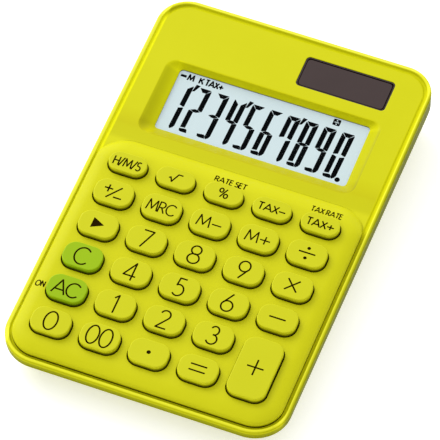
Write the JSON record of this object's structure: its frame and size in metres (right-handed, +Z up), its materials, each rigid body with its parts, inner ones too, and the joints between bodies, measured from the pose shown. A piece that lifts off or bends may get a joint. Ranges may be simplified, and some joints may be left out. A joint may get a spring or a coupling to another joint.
{
  "type": "desk calculator",
  "caption": "Compact lime yellow desk calculator with a wedge case, sprung keys, a recessed display and a small solar window.",
  "frame": {"origin": "on the table, under the middle of the whole calculator", "axes": "+X to the user's right, +Y from the keypad towards the display and away from the user, +Z up"},
  "size_m": [0.0798, 0.1266, 0.0177],
  "materials": {
    "case_plastic": "fine matte, lime yellow",
    "key_plastic": "satin, lime yellow",
    "green_key_plastic": "satin, leaf green",
    "display_window": "polished clear plastic window",
    "solar_window": "polished dark window",
    "solar_cell": "dark coated cell",
    "lcd_glass": "thin display glass",
    "reflector_foil": "satin foil",
    "white_plastic": "matte",
    "flex_cable": "amber film",
    "silicone_mat": "soft grey silicone",
    "circuit_board": "green solder mask",
    "chip_epoxy": "black potting",
    "cell_steel": "polished nickel plate",
    "contact_steel": "plated spring steel",
    "screw_steel": "zinc plated",
    "foot_rubber": "matte black",
    "red_wire": "wire insulation",
    "black_wire": "wire insulation"
  },
  "bodies": {
    "case": {"upper_case": "case_plastic", "lower_case": "case_plastic", "battery_cover": "case_plastic", "display_window": "display_window", "solar_window": "solar_window", "solar_cell": "solar_cell", "lcd_front_glass": "lcd_glass", "lcd_rear_glass": "lcd_glass", "lcd_reflector": "reflector_foil", "lcd_holder": "white_plastic", "lcd_flex_cable": "flex_cable", "keypad_mat": "silicone_mat", "main_board": "circuit_board", "chip_cover": "chip_epoxy", "button_cell": "cell_steel", "battery_contact_plus": "contact_steel", "battery_contact_minus": "contact_steel", "battery_cover_screw": "screw_steel", "case_screw_front_left": "screw_steel", "case_screw_front_right": "screw_steel", "case_screw_back_left": "screw_steel", "case_screw_back_right": "screw_steel", "board_screw_left": "screw_steel", "board_screw_right": "screw_steel", "board_screw_middle": "screw_steel", "foot_front_left": "foot_rubber", "foot_front_right": "foot_rubber", "foot_back_left": "foot_rubber", "foot_back_right": "foot_rubber", "solar_lead_plus": "red_wire", "solar_lead_minus": "black_wire"},
    "key_hms": {"key_hms": "key_plastic"},
    "key_root": {"key_root": "key_plastic"},
    "key_percent": {"key_percent": "key_plastic"},
    "key_tax_minus": {"key_tax_minus": "key_plastic"},
    "key_tax_plus": {"key_tax_plus": "key_plastic"},
    "key_sign": {"key_sign": "key_plastic"},
    "key_mrc": {"key_mrc": "key_plastic"},
    "key_m_minus": {"key_m_minus": "key_plastic"},
    "key_m_plus": {"key_m_plus": "key_plastic"},
    "key_divide": {"key_divide": "key_plastic"},
    "key_shift": {"key_shift": "key_plastic"},
    "key_7": {"key_7": "key_plastic"},
    "key_8": {"key_8": "key_plastic"},
    "key_9": {"key_9": "key_plastic"},
    "key_multiply": {"key_multiply": "key_plastic"},
    "key_c": {"key_c": "green_key_plastic"},
    "key_4": {"key_4": "key_plastic"},
    "key_5": {"key_5": "key_plastic"},
    "key_6": {"key_6": "key_plastic"},
    "key_minus": {"key_minus": "key_plastic"},
    "key_ac": {"key_ac": "green_key_plastic"},
    "key_1": {"key_1": "key_plastic"},
    "key_2": {"key_2": "key_plastic"},
    "key_3": {"key_3": "key_plastic"},
    "key_0": {"key_0": "key_plastic"},
    "key_00": {"key_00": "key_plastic"},
    "key_point": {"key_point": "key_plastic"},
    "key_equals": {"key_equals": "key_plastic"},
    "key_plus": {"key_plus": "key_plastic"}
  },
  "joints": [
    {"name": "key_hms_press", "type": "slide", "parent": "case", "child": "key_hms", "axis": [0, 0.061, -0.9981], "range_m": [0, 0.0011], "stiffness_N_per_m": 300, "springref_m": -0.001, "deforming": ["keypad_mat"]},
    {"name": "key_root_press", "type": "slide", "parent": "case", "child": "key_root", "axis": [0, 0.061, -0.9981], "range_m": [0, 0.0011], "stiffness_N_per_m": 300, "springref_m": -0.001},
    {"name": "key_percent_press", "type": "slide", "parent": "case", "child": "key_percent", "axis": [0, 0.061, -0.9981], "range_m": [0, 0.0011], "stiffness_N_per_m": 300, "springref_m": -0.001},
    {"name": "key_tax_minus_press", "type": "slide", "parent": "case", "child": "key_tax_minus", "axis": [0, 0.061, -0.9981], "range_m": [0, 0.0011], "stiffness_N_per_m": 300, "springref_m": -0.001},
    {"name": "key_tax_plus_press", "type": "slide", "parent": "case", "child": "key_tax_plus", "axis": [0, 0.061, -0.9981], "range_m": [0, 0.0011], "stiffness_N_per_m": 300, "springref_m": -0.001},
    {"name": "key_sign_press", "type": "slide", "parent": "case", "child": "key_sign", "axis": [0, 0.061, -0.9981], "range_m": [0, 0.0011], "stiffness_N_per_m": 300, "springref_m": -0.001},
    {"name": "key_mrc_press", "type": "slide", "parent": "case", "child": "key_mrc", "axis": [0, 0.061, -0.9981], "range_m": [0, 0.0011], "stiffness_N_per_m": 300, "springref_m": -0.001},
    {"name": "key_m_minus_press", "type": "slide", "parent": "case", "child": "key_m_minus", "axis": [0, 0.061, -0.9981], "range_m": [0, 0.0011], "stiffness_N_per_m": 300, "springref_m": -0.001},
    {"name": "key_m_plus_press", "type": "slide", "parent": "case", "child": "key_m_plus", "axis": [0, 0.061, -0.9981], "range_m": [0, 0.0011], "stiffness_N_per_m": 300, "springref_m": -0.001},
    {"name": "key_divide_press", "type": "slide", "parent": "case", "child": "key_divide", "axis": [0, 0.061, -0.9981], "range_m": [0, 0.0011], "stiffness_N_per_m": 300, "springref_m": -0.001},
    {"name": "key_shift_press", "type": "slide", "parent": "case", "child": "key_shift", "axis": [0, 0.061, -0.9981], "range_m": [0, 0.0011], "stiffness_N_per_m": 300, "springref_m": -0.001},
    {"name": "key_7_press", "type": "slide", "parent": "case", "child": "key_7", "axis": [0, 0.061, -0.9981], "range_m": [0, 0.0011], "stiffness_N_per_m": 300, "springref_m": -0.001},
    {"name": "key_8_press", "type": "slide", "parent": "case", "child": "key_8", "axis": [0, 0.061, -0.9981], "range_m": [0, 0.0011], "stiffness_N_per_m": 300, "springref_m": -0.001},
    {"name": "key_9_press", "type": "slide", "parent": "case", "child": "key_9", "axis": [0, 0.061, -0.9981], "range_m": [0, 0.0011], "stiffness_N_per_m": 300, "springref_m": -0.001},
    {"name": "key_multiply_press", "type": "slide", "parent": "case", "child": "key_multiply", "axis": [0, 0.061, -0.9981], "range_m": [0, 0.0011], "stiffness_N_per_m": 300, "springref_m": -0.001},
    {"name": "key_c_press", "type": "slide", "parent": "case", "child": "key_c", "axis": [0, 0.061, -0.9981], "range_m": [0, 0.0011], "stiffness_N_per_m": 300, "springref_m": -0.001},
    {"name": "key_4_press", "type": "slide", "parent": "case", "child": "key_4", "axis": [0, 0.061, -0.9981], "range_m": [0, 0.0011], "stiffness_N_per_m": 300, "springref_m": -0.001},
    {"name": "key_5_press", "type": "slide", "parent": "case", "child": "key_5", "axis": [0, 0.061, -0.9981], "range_m": [0, 0.0011], "stiffness_N_per_m": 300, "springref_m": -0.001},
    {"name": "key_6_press", "type": "slide", "parent": "case", "child": "key_6", "axis": [0, 0.061, -0.9981], "range_m": [0, 0.0011], "stiffness_N_per_m": 300, "springref_m": -0.001},
    {"name": "key_minus_press", "type": "slide", "parent": "case", "child": "key_minus", "axis": [0, 0.061, -0.9981], "range_m": [0, 0.0011], "stiffness_N_per_m": 300, "springref_m": -0.001},
    {"name": "key_ac_press", "type": "slide", "parent": "case", "child": "key_ac", "axis": [0, 0.061, -0.9981], "range_m": [0, 0.0011], "stiffness_N_per_m": 300, "springref_m": -0.001},
    {"name": "key_1_press", "type": "slide", "parent": "case", "child": "key_1", "axis": [0, 0.061, -0.9981], "range_m": [0, 0.0011], "stiffness_N_per_m": 300, "springref_m": -0.001},
    {"name": "key_2_press", "type": "slide", "parent": "case", "child": "key_2", "axis": [0, 0.061, -0.9981], "range_m": [0, 0.0011], "stiffness_N_per_m": 300, "springref_m": -0.001},
    {"name": "key_3_press", "type": "slide", "parent": "case", "child": "key_3", "axis": [0, 0.061, -0.9981], "range_m": [0, 0.0011], "stiffness_N_per_m": 300, "springref_m": -0.001},
    {"name": "key_0_press", "type": "slide", "parent": "case", "child": "key_0", "axis": [0, 0.061, -0.9981], "range_m": [0, 0.0011], "stiffness_N_per_m": 300, "springref_m": -0.001},
    {"name": "key_00_press", "type": "slide", "parent": "case", "child": "key_00", "axis": [0, 0.061, -0.9981], "range_m": [0, 0.0011], "stiffness_N_per_m": 300, "springref_m": -0.001},
    {"name": "key_point_press", "type": "slide", "parent": "case", "child": "key_point", "axis": [0, 0.061, -0.9981], "range_m": [0, 0.0011], "stiffness_N_per_m": 300, "springref_m": -0.001},
    {"name": "key_equals_press", "type": "slide", "parent": "case", "child": "key_equals", "axis": [0, 0.061, -0.9981], "range_m": [0, 0.0011], "stiffness_N_per_m": 300, "springref_m": -0.001},
    {"name": "key_plus_press", "type": "slide", "parent": "case", "child": "key_plus", "axis": [0, 0.061, -0.9981], "range_m": [0, 0.0011], "stiffness_N_per_m": 300, "springref_m": -0.001}
  ]
}
